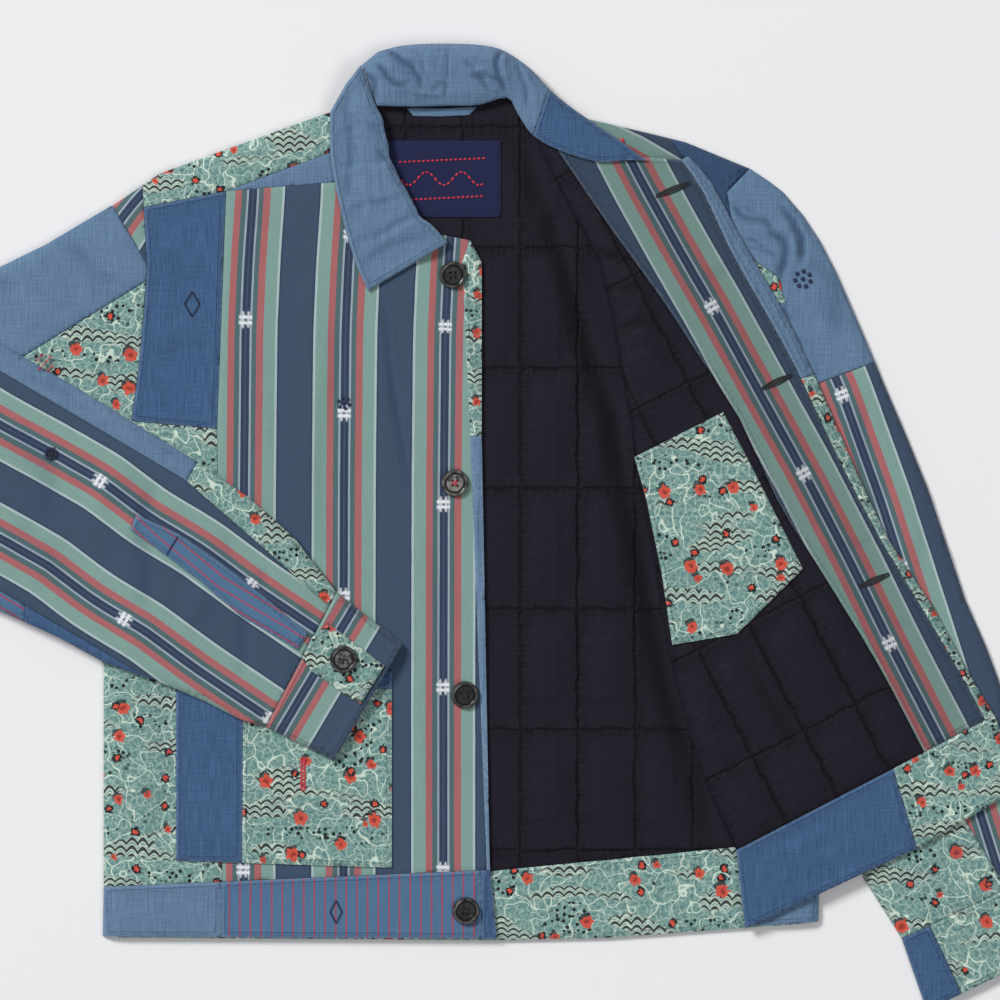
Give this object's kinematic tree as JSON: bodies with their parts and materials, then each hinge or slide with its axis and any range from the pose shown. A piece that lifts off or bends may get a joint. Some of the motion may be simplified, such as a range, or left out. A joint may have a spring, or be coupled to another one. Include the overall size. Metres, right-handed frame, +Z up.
{
  "type": "shirt jacket",
  "caption": "Patchwork cotton shirt jacket with a quilted lining, laid flat, one front closed under a folded sleeve and the other opened out.",
  "frame": {"origin": "on the back's flat underside, where it rests, on the body's centre line half-way down the picture's view", "axes": "+Z up from the surface the jacket lies on, +Y towards the collar, +X towards the opened front"},
  "size_m": [0.9033, 0.7737, 0.0219],
  "materials": {
    "light_blue_chambray": "soft matt chambray",
    "mid_blue_chambray": "soft matt chambray",
    "striped_handloom": "matt woven stripe",
    "printed_cotton": "matt printed cotton",
    "red_striped_chambray": "matt woven stripe",
    "black_quilted_lining": "matt quilted cotton",
    "label_cloth": "matt woven cloth",
    "black_button": "satin horn-like plastic"
  },
  "bodies": {
    "root": {"back_shell": "light_blue_chambray", "back_hem_facing": "printed_cotton", "back_lining": "black_quilted_lining", "front_yoke": "printed_cotton", "front_wedge": "light_blue_chambray", "front_armhole_strip": "striped_handloom", "front_chest_patch": "mid_blue_chambray", "front_side_print": "printed_cotton", "front_main_stripe": "striped_handloom", "front_band_print": "printed_cotton", "front_band_blue": "light_blue_chambray", "front_hem_side": "light_blue_chambray", "front_hem_striped": "red_striped_chambray", "front_hem_end": "mid_blue_chambray", "pocket_top": "mid_blue_chambray", "pocket_side": "mid_blue_chambray", "pocket_print": "printed_cotton", "right_sleeve_under": "light_blue_chambray", "right_sleeve_cap": "light_blue_chambray", "right_sleeve_gusset": "printed_cotton", "forearm_strip_blue": "light_blue_chambray", "forearm_strip_print": "printed_cotton", "forearm_main_stripe": "striped_handloom", "forearm_edge_stripe": "red_striped_chambray", "forearm_edge_blue": "mid_blue_chambray", "right_cuff": "striped_handloom", "forearm_under": "light_blue_chambray", "sleeve_placket": "red_striped_chambray", "cuff_tab": "printed_cotton", "left_sleeve_cap": "light_blue_chambray", "left_sleeve_gusset": "printed_cotton", "left_sleeve_stripe": "striped_handloom", "left_sleeve_print": "printed_cotton", "left_sleeve_side": "striped_handloom", "left_cuff_blue": "mid_blue_chambray", "left_cuff_print": "printed_cotton", "left_sleeve_under": "light_blue_chambray", "left_shoulder_stripe": "striped_handloom", "left_shoulder_blue": "light_blue_chambray", "left_front_side": "mid_blue_chambray", "left_hem_band": "light_blue_chambray", "left_front_lining": "black_quilted_lining", "left_front_facing": "striped_handloom", "left_band_blue": "light_blue_chambray", "left_band_print": "printed_cotton", "left_hem_inside_blue": "mid_blue_chambray", "left_hem_inside_print": "printed_cotton", "left_front_shell": "striped_handloom", "inner_pocket": "printed_cotton", "collar_leaf": "light_blue_chambray", "collar_back": "light_blue_chambray", "collar_end": "mid_blue_chambray", "collar_fall": "light_blue_chambray", "hanging_loop": "light_blue_chambray", "neck_label": "label_cloth", "button_1": "black_button", "button_2": "black_button", "button_3": "black_button", "button_4": "black_button", "cuff_button": "black_button"}
  },
  "joints": []
}
